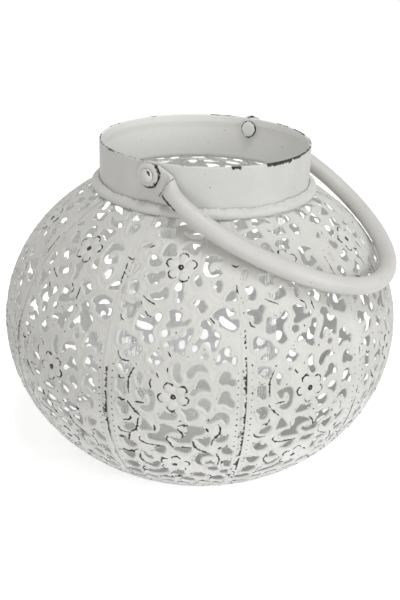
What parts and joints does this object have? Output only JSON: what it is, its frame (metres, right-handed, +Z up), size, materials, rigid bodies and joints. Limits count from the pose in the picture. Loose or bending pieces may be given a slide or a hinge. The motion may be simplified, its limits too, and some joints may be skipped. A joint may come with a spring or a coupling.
{
  "type": "candle lantern",
  "caption": "Round candle lantern of pierced, painted sheet-metal gores, with an open collar, a swing handle on rivets and a loose glass cylinder inside.",
  "frame": {"origin": "middle of the base, on the floor", "axes": "+Z up; the picture looks along +Y, with +X to the right"},
  "size_m": [0.2198, 0.22, 0.1793],
  "materials": {
    "body_paint": "satin off-white paint, worn dark along raised edges",
    "handle_paint": "satin off-white paint on steel tube",
    "rivet_paint": "satin off-white paint, worn dark in the crevices",
    "clear_glass": "clear and glossy"
  },
  "bodies": {
    "lantern": {"gore_01": "body_paint", "gore_02": "body_paint", "gore_03": "body_paint", "gore_04": "body_paint", "gore_05": "body_paint", "gore_06": "body_paint", "gore_07": "body_paint", "gore_08": "body_paint", "gore_09": "body_paint", "gore_10": "body_paint", "collar": "body_paint", "neck_ring": "body_paint", "base_pan": "body_paint", "front_rivet": "rivet_paint", "front_washer": "rivet_paint", "back_rivet": "rivet_paint", "back_washer": "rivet_paint"},
    "handle": {"handle": "handle_paint"},
    "glass": {"glass_cylinder": "clear_glass"}
  },
  "joints": [
    {"name": "handle_swing", "type": "hinge", "parent": "lantern", "child": "handle", "pos_m": [0, 0, 0.1724], "axis": [-0.4602, -0.8878, 0], "range_deg": [0, 232.8]},
    {"name": "glass_lift", "type": "slide", "parent": "lantern", "child": "glass", "axis": [0, 0, 1], "range_m": [0, 0.18]}
  ]
}
